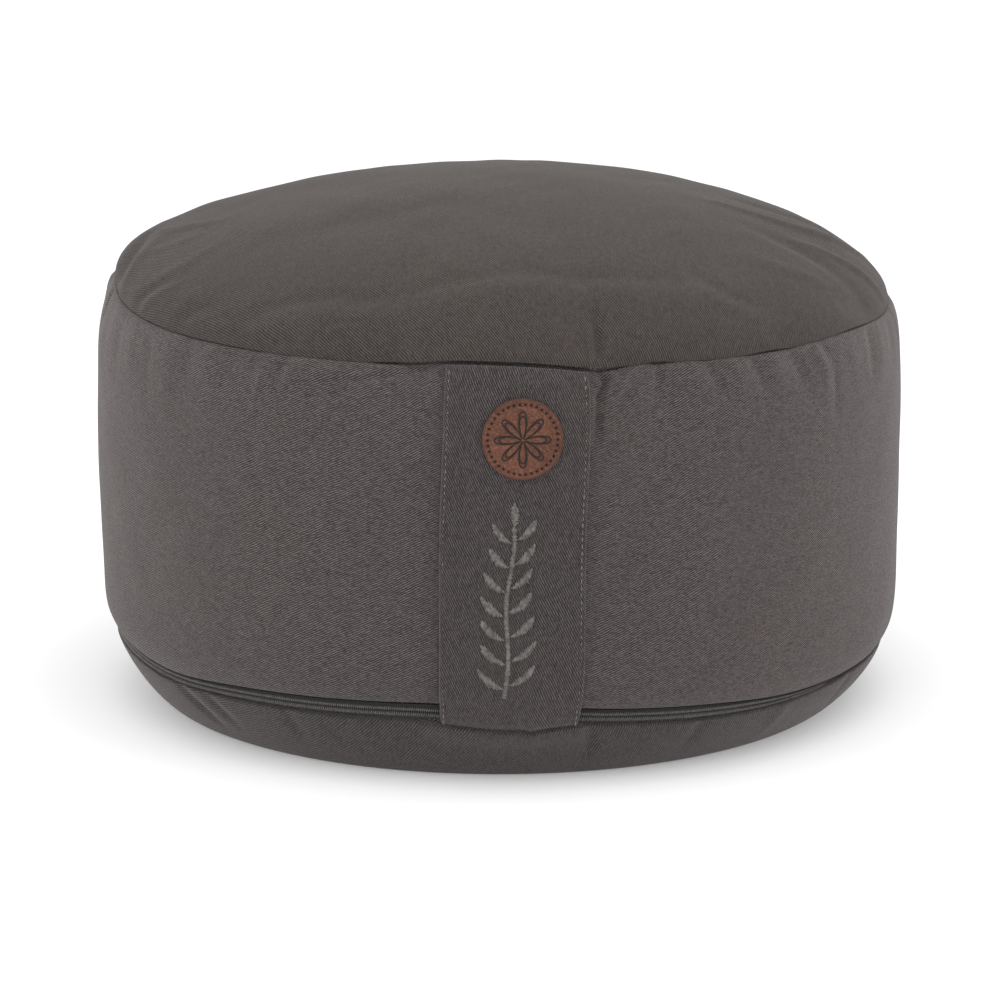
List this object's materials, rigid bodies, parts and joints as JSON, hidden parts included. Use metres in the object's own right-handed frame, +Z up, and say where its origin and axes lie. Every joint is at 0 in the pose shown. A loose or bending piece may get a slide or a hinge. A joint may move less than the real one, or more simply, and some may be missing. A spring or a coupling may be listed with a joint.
{
  "type": "round meditation cushion",
  "caption": "Round filled meditation cushion with a domed top, flat base, side zip, flat carry handle and a small leather patch.",
  "frame": {"origin": "on the floor under the middle of the cushion's bounding box", "axes": "+Z up, the handle and its patch on the -Y side, +X to the right as seen from the handle's side"},
  "size_m": [0.3324, 0.3367, 0.2146],
  "materials": {
    "charcoal_twill": "matte cotton twill",
    "charcoal_twill_strap": "matte cotton twill, folded",
    "brown_leather": "smooth vegetable-tanned",
    "zip_tape_cloth": "woven tape",
    "zip_coil_plastic": "satin coil",
    "dark_zip_metal": "dark satin"
  },
  "bodies": {
    "root": {"filled_body": "charcoal_twill", "top_panel": "charcoal_twill", "base_panel": "charcoal_twill", "zip_tape": "zip_tape_cloth", "zip_coil": "zip_coil_plastic", "zip_slider": "dark_zip_metal", "handle_strap": "charcoal_twill_strap", "leather_patch": "brown_leather"}
  },
  "joints": []
}
